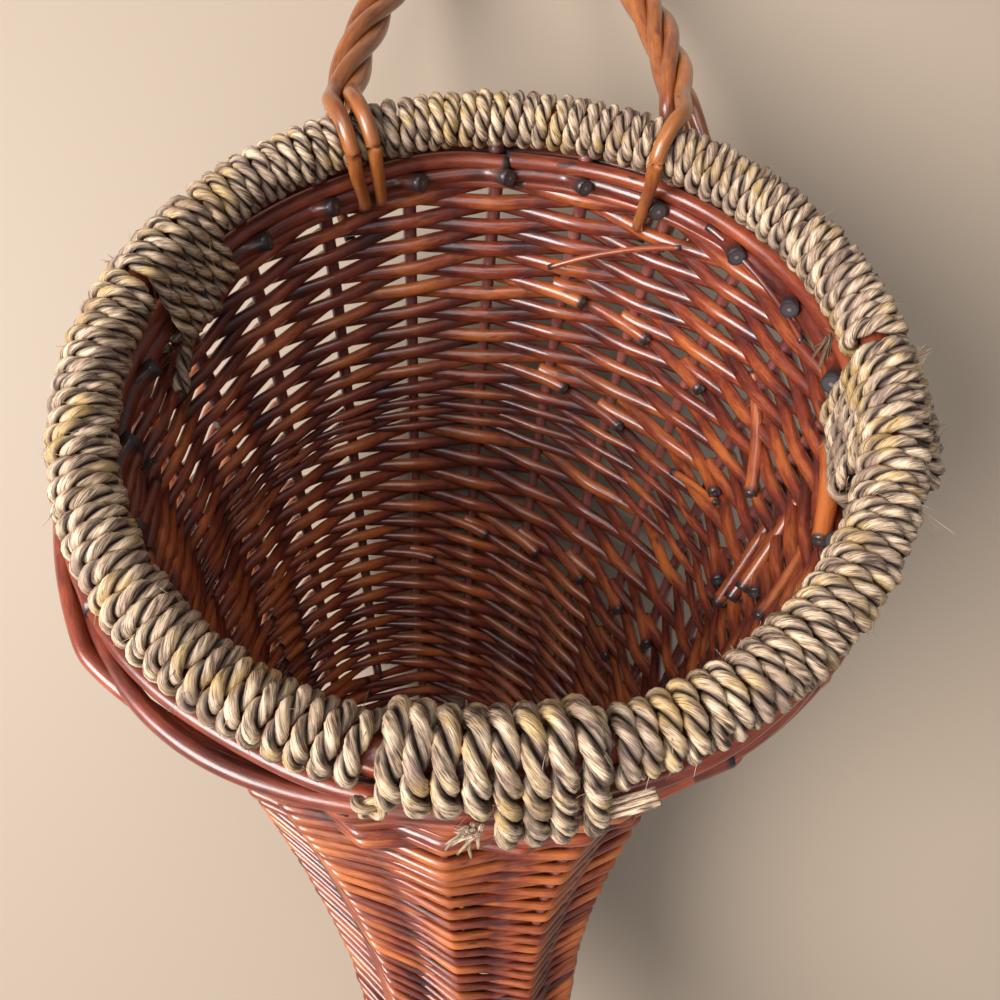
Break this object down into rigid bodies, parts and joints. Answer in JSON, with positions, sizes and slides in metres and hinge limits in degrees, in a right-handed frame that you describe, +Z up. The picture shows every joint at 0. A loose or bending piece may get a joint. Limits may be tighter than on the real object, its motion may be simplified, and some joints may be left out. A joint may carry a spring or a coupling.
{
  "type": "cornucopia basket",
  "caption": "Curved horn-shaped basket woven from stained willow, with a rope-bound mouth, a rolled border and a twisted willow handle.",
  "frame": {"origin": "on the floor, under the middle of the basket's box, as it lies on its belly and its handle", "axes": "+Z up, +Y towards the handle, -Y towards the tail's tip, +X to the right seen from the tail's side"},
  "size_m": [0.2932, 0.653, 0.2877],
  "materials": {
    "weave_willow": "stained red-brown, glossy lacquer",
    "stake_willow": "stained dark red-brown, glossy lacquer",
    "border_willow": "stained dark red-brown, glossy lacquer",
    "handle_willow": "stained orange-brown, glossy lacquer",
    "seagrass": "matt two-ply seagrass rope"
  },
  "bodies": {
    "root": {"rim_hoop": "border_willow", "by_stake_01": "stake_willow", "main_stake_01": "stake_willow", "by_stake_02": "stake_willow", "main_stake_02": "stake_willow", "by_stake_03": "stake_willow", "main_stake_03": "stake_willow", "by_stake_04": "stake_willow", "main_stake_04": "stake_willow", "by_stake_05": "stake_willow", "main_stake_05": "stake_willow", "by_stake_06": "stake_willow", "main_stake_06": "stake_willow", "by_stake_07": "stake_willow", "main_stake_07": "stake_willow", "by_stake_08": "stake_willow", "main_stake_08": "stake_willow", "by_stake_09": "stake_willow", "main_stake_09": "stake_willow", "by_stake_10": "stake_willow", "main_stake_10": "stake_willow", "by_stake_11": "stake_willow", "main_stake_11": "stake_willow", "mouth_weaver_01": "weave_willow", "mouth_weaver_02": "weave_willow", "mouth_weaver_03": "weave_willow", "mouth_weaver_04": "weave_willow", "mouth_weaver_05": "weave_willow", "mouth_weaver_06": "weave_willow", "mouth_weaver_07": "weave_willow", "mouth_weaver_08": "weave_willow", "mouth_weaver_09": "weave_willow", "horn_weaver_01": "weave_willow", "horn_weaver_02": "weave_willow", "horn_weaver_03": "weave_willow", "horn_weaver_04": "weave_willow", "horn_weaver_05": "weave_willow", "horn_weaver_06": "weave_willow", "horn_weaver_07": "weave_willow", "horn_weaver_08": "weave_willow", "horn_weaver_09": "weave_willow", "horn_weaver_10": "weave_willow", "tail_binding": "handle_willow", "border_rod_outer_1": "border_willow", "border_rod_outer_2": "border_willow", "border_rod_inner_1": "border_willow", "border_rod_inner_2": "border_willow", "rim_rope_back": "seagrass", "rim_rope_right": "seagrass", "rim_rope_left": "seagrass", "rope_lashing_front": "seagrass", "rope_lashing_right": "seagrass", "rope_lashing_left": "seagrass", "handle_rod_1": "handle_willow", "handle_rod_2": "handle_willow", "handle_rod_3": "handle_willow", "handle_rod_4": "handle_willow"}
  },
  "joints": []
}
